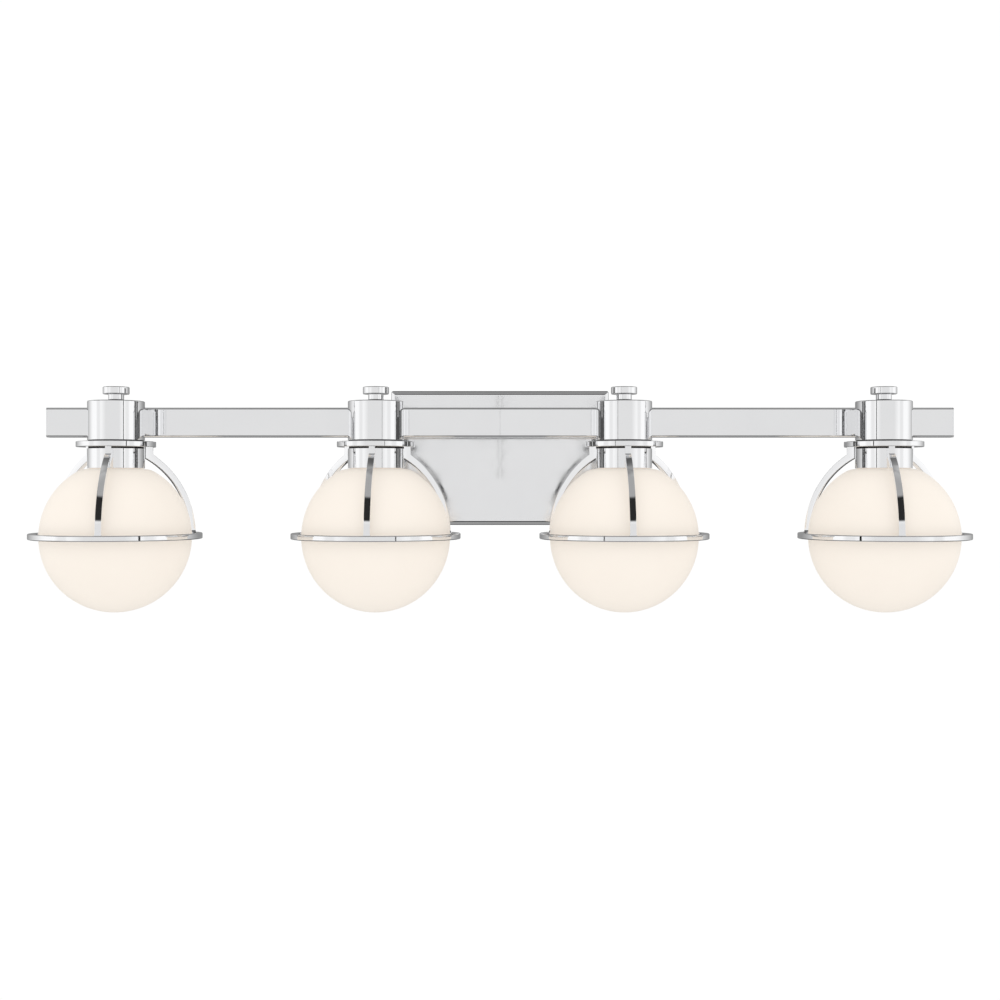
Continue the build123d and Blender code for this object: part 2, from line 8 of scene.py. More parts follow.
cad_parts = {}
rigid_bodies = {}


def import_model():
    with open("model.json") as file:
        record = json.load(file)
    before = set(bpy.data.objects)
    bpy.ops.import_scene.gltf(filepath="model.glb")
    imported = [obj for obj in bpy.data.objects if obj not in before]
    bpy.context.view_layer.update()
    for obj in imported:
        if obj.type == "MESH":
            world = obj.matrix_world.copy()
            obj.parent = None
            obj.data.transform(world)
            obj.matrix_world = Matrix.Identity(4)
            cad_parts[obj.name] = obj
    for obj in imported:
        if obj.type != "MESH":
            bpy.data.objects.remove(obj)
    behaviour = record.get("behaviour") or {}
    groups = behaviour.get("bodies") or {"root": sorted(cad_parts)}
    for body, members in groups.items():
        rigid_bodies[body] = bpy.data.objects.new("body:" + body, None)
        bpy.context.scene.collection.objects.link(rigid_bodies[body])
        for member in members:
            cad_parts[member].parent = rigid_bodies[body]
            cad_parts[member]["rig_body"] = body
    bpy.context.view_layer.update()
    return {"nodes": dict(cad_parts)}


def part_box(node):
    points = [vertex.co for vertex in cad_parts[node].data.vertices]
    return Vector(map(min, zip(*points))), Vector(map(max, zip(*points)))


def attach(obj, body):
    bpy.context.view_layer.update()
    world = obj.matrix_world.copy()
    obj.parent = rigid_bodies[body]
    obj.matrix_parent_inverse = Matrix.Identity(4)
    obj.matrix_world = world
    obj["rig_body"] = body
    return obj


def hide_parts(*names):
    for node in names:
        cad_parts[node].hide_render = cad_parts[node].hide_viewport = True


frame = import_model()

# A four-light vanity bar in polished chrome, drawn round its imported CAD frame.
# Shapes are written in millimetres and turned into metres when a mesh is made.
# Origin: wall plane, centre of the back plate. +Z up, front faces -Y.

MM = 0.001
LAMPS = (1, 2, 3, 4)
SIDES = (1, 2)
UP = (0, 0, 1)

# ---- softness of edges and fineness of round shapes
fine_edge = 0.4
arc_steps = 6
round_steps = 128
small_round_steps = 64
small_steps = 96
ring_steps = 192
wall_step = 8.0
crease_angle = math.radians(38)
flat_face_weight = 80
flat_to_front = 0.999
overcut = 1.0

# ---- wall thicknesses and details that the frame's boxes don't give
cup_wall = 1.6
cup_edge = 0.9
cup_roof = 2.0
rod_hole_r = 5.0
lower_cup_wall = 1.4
lip_r = 20.6
lip_height = 3.3
groove_height = 1.4
groove_depth = 1.0
cup_seam_height = 1.2
finial_seam_height = 1.5
seam_depth = 0.9
spigot_r = 24.6
spigot_bore_r = 22.6
collar_height = 5.3
collar_r = 36.5
collar_bore_r = 24.7
ring_height = 5.5
ring_depth = 7.2
rib_width = 5.8
rib_inner_leg_r = 27.5
rib_outer_leg_r = 35.0
rib_inner_rise = 74.3
rib_outer_rise = 77.6
rib_outer_foot_r = 77.5
rib_flare = 1.6
rib_stations = 40
rib_edge = 0.45
ring_edge = 1.0
rib_embed = 1.0
rib_angles = (-90, 30, 150)
cage_turns = (3.5, -1.1, 1.1, -3.5)
finial_head_height = 6.9
finial_neck_r = 7.25
finial_bore_r = 4.93
finial_bore_depth = 8.5
finial_edge = 0.8
glass_wall = 3.0
glass_neck_r = 24.3
glass_neck_bore_r = 21.6
glass_shoulder_drop = 15.7
glass_inner_drop = 18.4
glass_neck_height = 8.0
glass_waist = 0.982
glass_shoulder_angle = 59.5
glass_lip_edge = 1.1
glass_lower_steps = 24
glass_upper_steps = 16
glass_shoulder_steps = 10
gasket_bore_r = 21.8
plate_wall = 1.5
plate_edge = 4.5
plate_corner = 2.0
bar_wall = 1.5
bar_corner = 2.0
spigot_gap = 0.1
spigot_wall = 1.2
spigot_length = 6.0
spigot_overlap = 0.3
arm_edge = 1.2
lead_channel_r = 5.0
standoff_bore_r = 5.2
strap_thickness = 2.0
strap_slot_spacing = 88.9
strap_slot = (22.0, 4.8)
screw_shank_r = 2.0
side_screw_head_height = 1.8
side_screw_shank_r = 1.7
side_screw_length = 7.5
rod_r = 4.85
rod_bore_r = 3.4
rod_seat_r = 4.95
rod_front_end = 3.0
holder_neck_r = 9.0
holder_neck_drop = 9.7
holder_cavity_r = 14.2
holder_cavity_depth = 30.0
holder_rod_depth = 11.7
thread_pitch = 1.0
thread_depth = 0.45
cap_thread_pitch = 3.6
cap_thread_depth = 0.85
cap_thread_start = 3.5
cap_thread_stop = 0.5
cap_thread_run_out = 2.0
bulb_cap_shoulder_drop = 5.7
bulb_cap_cone_r = 6.0
bulb_cap_cone_drop = 2.1
bulb_tip_r = 4.5
bulb_neck_r = 13.0
bulb_belly_drop = 31.0
bulb_wall = 1.2
bulb_fullness = 0.86
bulb_neck_steps = 24
bulb_end_steps = 32
connector_offset = 7.0
connector_top_r = 5.4
connector_bottom_r = 3.6
connector_bore_r = 2.9
connector_flutes = 12
connector_flute_depth = 0.35
connector_flute_top = 3.0
connector_flute_fade = 1.5
connector_skirt = 2.5
connector_step = 0.8
slot_width = 1.0
slot_depth = 1.0

# ---- camera: level, straight at the bar, from just under its height
eye_distance = 1316.0
eye_height = -28.9
eye_lens = 50.4
eye_sensor = 36.0
eye_shift = -0.013

# ---- studio
floor_z = -1350.0
floor_r = 1800.0
floor_thickness = 20.0
flag_x = 245.0
flag_y = -730.0
flag_width = 100.0
flag_height = 900.0
flag_angle = 69.0
strip_x = 200.0
strip_z = 27.5
strip_height = 95.0
strip_brightness = 0.08
# where each strip starts and ends, behind the lamps' axes
strip_spans = ((-6, 14), (19, 42))
white_level = 1.02
# brightness round the object, in degrees away from the front
around = (
    (0, 0.80), (26, 0.80), (45, 0.98), (50, 0.98), (54, 0.88), (64, 0.88), (71, 1.05),
    (89, 1.05), (96, 1.0), (110, 0.80), (125, 0.60), (140, 0.42), (155, 0.30), (180, 0.30),
)
# brightness by height in front, in degrees above the horizon
above_front = (
    (-90, 0.50), (-50, 0.50), (-44, 0.08), (-16, 0.08), (-13, 1.0), (15, 1.0), (18, 1.12),
    (20, 0.03), (46, 0.03), (49, 0.50), (76, 0.50), (80, 0.32), (90, 0.30),
)
# the same behind the object
above_rear = (
    (-90, 0.50), (-50, 0.50), (-44, 0.20), (-16, 0.30), (-13, 1.0), (20, 1.0), (30, 0.70),
    (55, 0.40), (90, 0.30),
)
# where the front ends, in degrees away from it
rear_start = 100.0


# ================= frame =================

def cad(node):
    """Lowest and highest corner of a CAD node, in millimetres."""
    low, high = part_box(node)
    return low / MM, high / MM


def middle(node):
    """Centre of a CAD node's box, in millimetres."""
    low, high = cad(node)
    return (low + high) / 2


def lamp_base(number):
    """Foot of a lamp's upright axis, at height zero."""
    centre = middle(f"finial_{number}")
    return Vector((centre.x, centre.y, 0))


# ================= outlines =================

def rounded(corners, steps=arc_steps):
    """Closed outline through (a, b, radius) corners, each turned into an arc."""
    outline = []
    neighbours = zip(corners[-1:] + corners[:-1], corners, corners[1:] + corners[:1])
    for before, corner, after in neighbours:
        here = Vector(corner[:2])
        radius = corner[2]
        if radius == 0:
            outline.append(here)
            continue
        back = (Vector(before[:2]) - here).normalized()
        ahead = (Vector(after[:2]) - here).normalized()
        half_angle = back.angle(ahead) / 2
        centre = here + (back + ahead).normalized() * radius / math.sin(half_angle)
        reach = radius / math.tan(half_angle)
        first = here + back * reach - centre
        last = here + ahead * reach - centre
        outline += arc_between(centre, radius, first, last, steps)
    return outline


def arc(centre, radius, start, end, steps):
    """Points of the shorter arc from angle start to angle end."""
    turn = (end - start + math.pi) % (2 * math.pi) - math.pi
    angles = [start + turn * step / steps for step in range(steps + 1)]
    return [Vector(centre) + radius * Vector((math.cos(a), math.sin(a))) for a in angles]


def arc_between(centre, radius, first, last, steps):
    """Points of the shorter arc between two directions from its centre."""
    return arc(centre, radius, math.atan2(first.y, first.x), math.atan2(last.y, last.x), steps)


def rectangle(width, height, radius, centre=(0, 0), steps=arc_steps):
    """Rounded rectangle, counter-clockwise."""
    a, b = width / 2, height / 2
    signs = ((-1, -1), (1, -1), (1, 1), (-1, 1))
    return rounded([(centre[0] + s * a, centre[1] + t * b, radius) for s, t in signs], steps)


def circle(radius, centre=(0, 0), steps=48, clockwise=False):
    """Circle, counter-clockwise unless it is a hole."""
    way = -1 if clockwise else 1
    turns = [way * 2 * math.pi * step / steps for step in range(steps)]
    return [Vector(centre) + radius * Vector((math.cos(a), math.sin(a))) for a in turns]


def inset(outline, distance):
    """Outline moved to its left by distance: inwards if it runs counter-clockwise."""
    moved = []
    neighbours = zip(outline[-1:] + outline[:-1], outline, outline[1:] + outline[:1])
    for before, here, after in neighbours:
        arriving = (here - before).normalized()
        leaving = (after - here).normalized()
        bisector = Vector((-arriving.y - leaving.y, arriving.x + leaving.x)).normalized()
        stretch = max(bisector.dot(Vector((-leaving.y, leaving.x))), 0.3)
        moved.append(here + bisector * distance / stretch)
    return moved


def soft_profile(depth, edge, steps=3):
    """(inset, height) steps of a slab's side, with both edges rounded."""
    quarter = [math.pi / 2 * step / steps for step in range(steps + 1)]
    lower = [(edge * (1 - math.sin(a)), edge * (1 - math.cos(a))) for a in quarter]
    upper = [(edge * (1 - math.cos(a)), depth - edge * (1 - math.sin(a))) for a in quarter]
    return lower + upper


# ================= meshes =================

def plane(origin, a_axis, b_axis):
    """Matrix from a plane's own a, b and height to the frame, in millimetres."""
    a, b = Vector(a_axis), Vector(b_axis)
    columns = Matrix((a, b, a.cross(b))).transposed().to_4x4()
    return Matrix.Translation(Vector(origin)) @ columns


def facing_front(origin):
    """Plane with a along +X, b along +Z and height towards the front."""
    return plane(origin, (1, 0, 0), (0, 0, 1))


def facing_side(origin):
    """Plane with a along +Y, b along +Z and height along +X."""
    return plane(origin, (0, 1, 0), (0, 0, 1))


def add_loop(mesh, place, outline, height):
    """Vertices of one outline at a height over a plane."""
    return [mesh.verts.new(place @ Vector((a, b, height))) for a, b in outline]


def stitch(mesh, loops, closed=False):
    """Faces between each loop and the next."""
    following = loops[1:] + loops[:1] if closed else loops[1:]
    for lower, upper in zip(loops, following):
        for k in range(len(lower)):
            after = (k + 1) % len(lower)
            corners = []
            for vertex in (lower[k], lower[after], upper[after], upper[k]):
                if vertex not in corners:
                    corners.append(vertex)
            if len(corners) > 2:
                mesh.faces.new(corners)


def cover(mesh, loops):
    """Flat face between an outer loop and the loops of its holes."""
    edges = []
    for loop in loops:
        for first, second in zip(loop, loop[1:] + loop[:1]):
            edges.append(mesh.edges.get((first, second)) or mesh.edges.new((first, second)))
    bmesh.ops.triangle_fill(mesh, edges=edges, use_beauty=True)


def skin(mesh, place, outline_at, profile):
    """Side wall through (inset, height) steps; returns its first and last loop."""
    loops = [add_loop(mesh, place, outline_at(step), height) for step, height in profile]
    stitch(mesh, loops)
    return loops[0], loops[-1]


def slab(mesh, place, outlines, depth, edge=fine_edge):
    """Flat solid with rounded edges: the first outline is the rim, the others holes."""
    profile = soft_profile(depth, edge)
    ends = []
    for outline in outlines:
        ends.append(skin(mesh, place, lambda step, o=outline: inset(o, step), profile))
    cover(mesh, [first for first, last in ends])
    cover(mesh, [last for first, last in ends])


def lathe(mesh, base, outline, axis=UP, steps=round_steps, relief=None, relief_from=0.0):
    """Solid of revolution from a closed outline of (radius, height) points.
    relief(angle, height) adds to radii beyond relief_from, for threads and flutes."""
    upright = Vector(axis).to_track_quat("Z", "Y").to_matrix().to_4x4()
    place = Matrix.Translation(Vector(base)) @ upright
    loops = []
    for radius, height in outline:
        if radius < MM:
            loops.append([mesh.verts.new(place @ Vector((0, 0, height)))] * steps)
            continue
        loop = []
        for k in range(steps):
            angle = 2 * math.pi * k / steps
            reach = radius
            if relief and radius > relief_from:
                reach += relief(angle, height)
            point = Vector((reach * math.cos(angle), reach * math.sin(angle), height))
            loop.append(mesh.verts.new(place @ point))
        loops.append(loop)
    stitch(mesh, loops, closed=True)


def fade(height, low, high, reach):
    """1 between two heights, falling to 0 over a stretch inside each."""
    return max(0.0, min(1.0, (height - low) / reach, (high - height) / reach))


def helix(pitch, depth, low, high, run_out):
    """Relief of a round thread between two heights, fading out at both ends."""
    def relief(angle, height):
        wave = math.cos(2 * math.pi * height / pitch - angle)
        return -fade(height, low, high, run_out) * depth * (1 - wave) / 2
    return relief


def finely(outline, longest):
    """Closed outline with its long straight stretches divided."""
    divided = []
    for here, after in zip(outline, outline[1:] + outline[:1]):
        count = max(1, math.ceil((after - here).length / longest))
        divided += [here.lerp(after, step / count) for step in range(count)]
    return divided


def to_data(mesh, name):
    """Blender mesh in metres, smooth but for its creases."""
    bmesh.ops.recalc_face_normals(mesh, faces=mesh.faces)
    bmesh.ops.scale(mesh, vec=(MM, MM, MM), verts=mesh.verts)
    data = bpy.data.meshes.new(name)
    mesh.to_mesh(data)
    mesh.free()
    data.shade_smooth()
    data.set_sharp_from_angle(angle=crease_angle)
    return data


def placed(name, data):
    """New object in the scene."""
    item = bpy.data.objects.new(name, data)
    bpy.context.scene.collection.objects.link(item)
    return item


def cut(data, operation, makers):
    """Mesh data after a boolean with solids, each drawn by one maker."""
    body = placed("cut_body", data)
    tools = []
    for maker in makers:
        mesh = bmesh.new()
        maker(mesh)
        tool = placed("cut_tool", to_data(mesh, "cut_tool"))
        modifier = body.modifiers.new("cut", "BOOLEAN")
        modifier.operation = operation
        modifier.solver = "EXACT"
        modifier.object = tool
        tools.append(tool)
    shaped = body.evaluated_get(bpy.context.evaluated_depsgraph_get())
    result = bpy.data.meshes.new_from_object(shaped)
    for used in [body, *tools]:
        bpy.data.objects.remove(used)
    result.shade_smooth()
    result.set_sharp_from_angle(angle=crease_angle)
    return result


def drill(data, holes):
    """Mesh data with round holes: each is (origin, axis, radius, depth)."""
    makers = []
    for origin, axis, radius, depth in holes:
        outline = [Vector(p) for p in ((0, 0), (radius, 0), (radius, depth), (0, depth))]
        makers.append(lambda mesh, o=origin, a=axis, line=outline: lathe(mesh, o, line, a))
    return cut(data, "DIFFERENCE", makers)


def add_piece(name, data, slot, *nodes, finish=None):
    """Shown piece that stands for CAD nodes and rides on their body. Its material is
    that of its slot, unless a finish is named."""
    piece = placed(name, data)
    data.materials.clear()
    data.materials.append(materials[finish or slot])
    normals = piece.modifiers.new("normals", "WEIGHTED_NORMAL")
    normals.keep_sharp = True
    normals.weight = flat_face_weight
    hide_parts(*nodes)
    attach(piece, frame["nodes"][nodes[0]]["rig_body"])
    return piece


def darken_seam(piece, base, low, high, reach):
    """Painted shade: near-black metal on the faces between two heights and inside a radius, but
    outside the bore, for the shade in a seam.
    """
    piece.data.materials.append(materials["painted_seam_shade"])
    for face in piece.data.polygons:
        place = face.center / MM - base
        if low < place.z < high and reach - 2 * seam_depth < place.xy.length < reach:
            face.material_index = 1


def turned(name, base, outline, slot, *nodes, **options):
    """Piece made on a lathe."""
    mesh = bmesh.new()
    lathe(mesh, base, outline, **options)
    return add_piece(name, to_data(mesh, name), slot, *nodes)


# ================= materials =================

def clear_tree(owner):
    """Empty node tree of a material or a world."""
    owner.use_nodes = True
    owner.node_tree.nodes.clear()
    return owner.node_tree


def add_node(tree, kind, **inputs):
    """New node; each input is a number, numbers or another node's output."""
    node = tree.nodes.new(kind)
    for name, value in inputs.items():
        socket = node.inputs[name.replace("_", " ")]
        if isinstance(value, bpy.types.NodeSocket):
            tree.links.new(value, socket)
        else:
            socket.default_value = value
    return node


def mixed(tree, factor, first, second):
    """Shader that is the first at factor 0 and the second at factor 1."""
    node = add_node(tree, "ShaderNodeMixShader", Fac=factor)
    tree.links.new(first, node.inputs[1])
    tree.links.new(second, node.inputs[2])
    return node.outputs["Shader"]


class Finish:
    """One procedural material, with its noise in the piece's own millimetres."""

    def __init__(self, name, **sockets):
        self.material = bpy.data.materials.new(name)
        self.tree = clear_tree(self.material)
        self.shader = add_node(self.tree, "ShaderNodeBsdfPrincipled", **sockets)
        add_node(self.tree, "ShaderNodeOutputMaterial", Surface=self.shader.outputs["BSDF"])
        coordinates = self.tree.nodes.new("ShaderNodeTexCoord").outputs["Object"]
        self.place = self.scaled(coordinates, [1 / MM] * 3)

    def scaled(self, vector, scale):
        """Coordinates multiplied along each axis."""
        node = add_node(self.tree, "ShaderNodeMapping", Vector=vector, Scale=scale)
        return node.outputs["Vector"]

    def noise(self, size, detail=3.0, stretch=(1, 1, 1)):
        """Noise whose features are about size millimetres across."""
        vector = self.scaled(self.place, [1 / (size * s) for s in stretch])
        node = add_node(
            self.tree, "ShaderNodeTexNoise", Vector=vector, Scale=1.0, Detail=detail
        )
        return node.outputs["Fac"]

    def cells(self, size):
        """Random shade per crystal of about size millimetres."""
        vector = self.scaled(self.place, [1 / size] * 3)
        node = add_node(self.tree, "ShaderNodeTexVoronoi", Vector=vector, Scale=1.0)
        grey = add_node(self.tree, "ShaderNodeRGBToBW", Color=node.outputs["Color"])
        return grey.outputs["Val"]

    def colour(self, factor, first, second, start=0.3, end=0.7):
        """Base colour between two shades."""
        node = add_node(self.tree, "ShaderNodeValToRGB", Fac=factor)
        for element, place, shade in zip(
            node.color_ramp.elements, (start, end), (first, second)
        ):
            element.position = place
            element.color = (*shade, 1)
        self.tree.links.new(node.outputs["Color"], self.shader.inputs["Base Color"])

    def roughness(self, factor, low, high):
        """Roughness between two values."""
        node = add_node(
            self.tree, "ShaderNodeMapRange", Value=factor,
            From_Min=0.3, From_Max=0.7, To_Min=low, To_Max=high,
        )
        self.tree.links.new(node.outputs["Result"], self.shader.inputs["Roughness"])

    def bump(self, factor, height):
        """Relief of that height in millimetres."""
        node = add_node(
            self.tree, "ShaderNodeBump", Height=factor, Strength=1.0, Distance=height * MM
        )
        self.tree.links.new(node.outputs["Normal"], self.shader.inputs["Normal"])


def coat(name, shade, dull, relief, **sockets):
    """Material whose colour, roughness and relief each follow a pattern of their own.
    shade is (pattern, first, second), dull (pattern, low, high) and relief (pattern,
    height). A pattern holds what Finish.noise takes: size, detail and stretch."""
    finish = Finish(name, **sockets)
    finish.colour(finish.noise(*shade[0]), *shade[1:])
    finish.roughness(finish.noise(*dull[0]), *dull[1:])
    finish.bump(finish.noise(*relief[0]), *relief[1:])
    return finish.material


def chrome(name, stretch, dullest=0.06):
    """Polished chrome plate: a faint waviness and barely duller patches."""
    return coat(
        name, ((45.0, 2.0), (0.905, 0.908, 0.918), (0.925, 0.928, 0.936)),
        ((12.0, 4.0, stretch), dullest * 0.4, dullest), ((60.0, 1.0), 0.02), Metallic=1.0,
    )


def zinc_steel():
    """Zinc plated steel with small crystals and rolling lines."""
    finish = Finish("zinc_plate", Metallic=1.0)
    finish.colour(finish.cells(2.6), (0.52, 0.54, 0.56), (0.70, 0.71, 0.70), 0.1, 0.9)
    finish.roughness(finish.noise(1.2, 4.0, (8, 1, 1)), 0.28, 0.48)
    finish.bump(finish.noise(0.5, 3.0, (8, 1, 1)), 0.015)
    return finish.material


def insulation(name, first, second):
    """Extruded wire insulation, slightly uneven along its length."""
    return coat(
        name, ((6.0,), first, second), ((1.0,), 0.42, 0.60), ((0.35, 4.0), 0.02),
        Specular_IOR_Level=0.4,
    )


materials = {
    "chrome": chrome("chrome_turned", (1, 1, 4)),
    "chrome_trim": chrome("chrome_drawn", (6, 1, 1)),
    "chrome_pressed": chrome("chrome_pressed", (1, 1, 1), 0.2),
    # painted shade: near-black metal on the faces of a seam, standing for the shade at its bottom
    "painted_seam_shade": coat(
        "painted_seam_shade", ((2.0,), (0.020, 0.020, 0.022), (0.045, 0.045, 0.048)),
        ((0.8,), 0.45, 0.65), ((0.4,), 0.01), Metallic=1.0,
    ),
    "zinc_steel": zinc_steel(),
    # green passivated earth screw
    "earth_green": coat(
        "green_passivation", ((1.5,), (0.02, 0.20, 0.05), (0.05, 0.34, 0.10)),
        ((0.6,), 0.25, 0.42), ((0.4,), 0.02), Metallic=0.7, Coat_Weight=0.3,
    ),
    "green_insulation": insulation("green_sleeve", (0.02, 0.22, 0.06), (0.04, 0.30, 0.09)),
    "lead_insulation": insulation("white_sleeve", (0.74, 0.73, 0.70), (0.84, 0.83, 0.80)),
    # moulded connector shell with a fine spark-eroded grain
    "connector_plastic": coat(
        "connector_shell", ((4.0,), (0.60, 0.075, 0.02), (0.74, 0.12, 0.035)),
        ((0.4,), 0.38, 0.56), ((0.22, 2.0), 0.03), Specular_IOR_Level=0.5,
    ),
    # spun brass, a little tarnished
    "brass": coat(
        "spun_brass", ((5.0, 4.0), (0.62, 0.42, 0.16), (0.86, 0.64, 0.30)),
        ((1.0, 3.0, (6, 6, 1)), 0.20, 0.40), ((0.4, 2.0, (6, 6, 1)), 0.01), Metallic=1.0,
    ),
    # glazed porcelain: glossy, with the odd speck and a soft orange peel
    "porcelain": coat(
        "white_glaze", ((1.1, 2.0), (0.62, 0.58, 0.52), (0.88, 0.87, 0.83), 0.22, 0.34),
        ((7.0,), 0.14, 0.26), ((3.0, 2.0), 0.04),
        Coat_Weight=0.8, Coat_Roughness=0.06, Specular_IOR_Level=0.6,
    ),
    # nickel plated bulb cap with handling marks
    "bulb_cap": coat(
        "nickel_cap", ((4.0, 4.0), (0.66, 0.64, 0.60), (0.82, 0.81, 0.78)),
        ((1.6, 4.0), 0.16, 0.36), ((0.8, 3.0), 0.012), Metallic=1.0,
    ),
    # inside-frosted bulb glass: milky, satin outside
    "bulb_frost": coat(
        "bulb_frosting", ((14.0,), (0.84, 0.84, 0.82), (0.92, 0.92, 0.90)),
        ((2.0,), 0.22, 0.36), ((0.6,), 0.01),
        Subsurface_Weight=0.5, Subsurface_Scale=2 * MM, Coat_Weight=0.4,
    ),
    # clear-white silicone gasket
    "silicone": coat(
        "gasket_silicone", ((3.0,), (0.70, 0.70, 0.68), (0.82, 0.82, 0.80)),
        ((0.8,), 0.45, 0.62), ((0.5,), 0.02), Subsurface_Weight=0.4, Subsurface_Scale=MM,
    ),
    # satin opal glass with a painted glow: a faint emission that stands in for the light scattered
    # inside it
    "opal_glass": coat(
        "opal_glass", ((38.0, 2.0), (0.655, 0.605, 0.545), (0.665, 0.615, 0.555)),
        ((9.0, 3.0), 0.42, 0.52), ((55.0, 1.0), 0.05),
        Specular_IOR_Level=0.25, Emission_Color=(1.0, 0.92, 0.83, 1), Emission_Strength=0.33,
    ),
}


def repaint(node, slot):
    """A CAD node keeps its shape and gets the better material."""
    mesh = frame["nodes"][node].data
    mesh.materials.clear()
    mesh.materials.append(materials[slot])
    mesh.shade_smooth()
    mesh.set_sharp_from_angle(angle=crease_angle)


# ================= wall side =================

def make_back_pan():
    """Pressed pan with a rounded front edge, open towards the wall."""
    low, high = cad("back_plate")
    width, depth, height = high - low
    standoffs = [middle(f"standoff_{side}") for side in SIDES]
    inner_depth = depth - plate_wall
    bend = plate_edge - plate_wall

    def rim(step):
        return rectangle(width - 2 * step, height - 2 * step, max(plate_corner - step, 0.5))

    quarter = [math.pi / 2 * step / arc_steps for step in range(arc_steps + 1)]
    inside = [
        (plate_wall + bend * (1 - math.sin(a)), inner_depth - bend * (1 - math.cos(a)))
        for a in quarter
    ]
    lip = [(plate_wall, fine_edge), (plate_wall - fine_edge, 0), (fine_edge, 0), (0, fine_edge)]
    outside = [
        (plate_edge * (1 - math.cos(a)), depth - plate_edge * (1 - math.sin(a)))
        for a in quarter
    ]
    mesh = bmesh.new()
    place = facing_front(((low.x + high.x) / 2, high.y, (low.z + high.z) / 2))
    back_face, front_face = skin(mesh, place, rim, inside + lip + outside)
    holes = []
    for centre in standoffs:
        spot = (centre.x, centre.z - middle("back_plate").z)
        hole = circle(standoff_bore_r, spot, clockwise=True)
        holes.append(skin(mesh, place, lambda step, o=hole: o, [(0, inner_depth), (0, depth)]))
    cover(mesh, [back_face] + [first for first, last in holes])
    cover(mesh, [front_face] + [last for first, last in holes])
    pan = add_piece("back_pan", to_data(mesh, "back_pan"), "chrome", "back_plate")
    pan.data.materials.append(materials["chrome_pressed"])
    for face in pan.data.polygons:
        if face.normal.y < -flat_to_front:
            face.material_index = 1


def make_strap():
    """Stamped strap with two slots, a tapped hole and an ear at each end."""
    low, high = cad("mounting_strap")
    length, ear_depth, height = high - low
    screw = middle("ground_screw")
    outlines = [rectangle(length, height, 1.0)]
    for side in (-1, 1):
        slot_x = side * strap_slot_spacing / 2
        outlines.append(rectangle(*strap_slot, strap_slot[1] / 2 - MM, (slot_x, 0))[::-1])
    outlines.append(circle(screw_shank_r, (screw.x, 0), clockwise=True))
    mesh = bmesh.new()
    slab(mesh, facing_front((0, high.y, 0)), outlines, strap_thickness, 0.3)
    data = to_data(mesh, "strap")
    ears = []
    for edge in (low.x, high.x - strap_thickness):
        ear = rectangle(ear_depth - MM, height, 1.0, (-ear_depth / 2, 0))
        place = facing_side((edge, high.y, 0))
        ears.append(lambda mesh, p=place, o=ear: slab(mesh, p, [o], strap_thickness, 0.3))
    data = cut(data, "UNION", ears)
    add_piece("strap_plate", data, "zinc_steel", "mounting_strap")


def make_screw(name, seat, axis, head_size, shank_size, slot, node):
    """Slotted screw with a domed head; its shank goes the other way from the head."""
    head_r, head_height = head_size
    shank_r, shank = shank_size
    outline = rounded([
        (0, -shank, 0), (shank_r, -shank, 0.3), (shank_r, 0, 0.1), (head_r, 0, 0.2),
        (head_r, head_height, head_height * 0.75), (0, head_height, 0),
    ])
    mesh = bmesh.new()
    lathe(mesh, seat, outline, axis, small_round_steps)
    side = Vector(axis).orthogonal().normalized()
    slot_floor = Vector(seat) + Vector(axis) * (head_height - slot_depth)
    place = plane(slot_floor, side, Vector(axis).cross(side))
    groove = rectangle(2.4 * head_r, slot_width, 0.05)
    cutter = [lambda m: slab(m, place, [groove], 2 * slot_depth, 0.05)]
    data = cut(to_data(mesh, name), "DIFFERENCE", cutter)
    add_piece(name, data, slot, node)


def make_side_screws():
    """One node holds both screws, so both pieces are drawn and the second rides along."""
    low, high = cad("plate_side_screws")
    head = ((high.z - low.z) / 2, side_screw_head_height)
    shank = (side_screw_shank_r, side_screw_length)
    plate_low, plate_high = cad("back_plate")
    for number, way, edge in ((1, -1, plate_low.x), (2, 1, plate_high.x)):
        seat = (edge, (low.y + high.y) / 2, 0)
        make_screw(
            f"pan_screw_{number}", seat, (way, 0, 0), head, shank, "chrome_trim",
            "plate_side_screws",
        )


def make_ground_screw():
    """Green earth screw in the strap, its head towards the wall box."""
    low, high = cad("ground_screw")
    seat = Vector(((low.x + high.x) / 2, high.y - strap_thickness, (low.z + high.z) / 2))
    head_r = (high.z - low.z) / 2
    make_screw(
        "earth_screw", seat, (0, -1, 0), (head_r, seat.y - low.y),
        (screw_shank_r, strap_thickness), "earth_green", "ground_screw",
    )


def make_standoffs():
    """Two polished sleeves between the pan and the bar."""
    for side in SIDES:
        low, high = cad(f"standoff_{side}")
        centre = middle(f"standoff_{side}")
        length = high.y - low.y
        radius = (high.x - low.x) / 2
        outline = rounded([
            (standoff_bore_r, 0, 0.2), (radius, 0, 0.3), (radius, length, 0.3),
            (standoff_bore_r, length, 0.2),
        ])
        base = (centre.x, low.y, centre.z)
        turned(
            f"standoff_sleeve_{side}", base, outline, "chrome",
            f"standoff_{side}", axis=(0, 1, 0), steps=small_round_steps,
        )


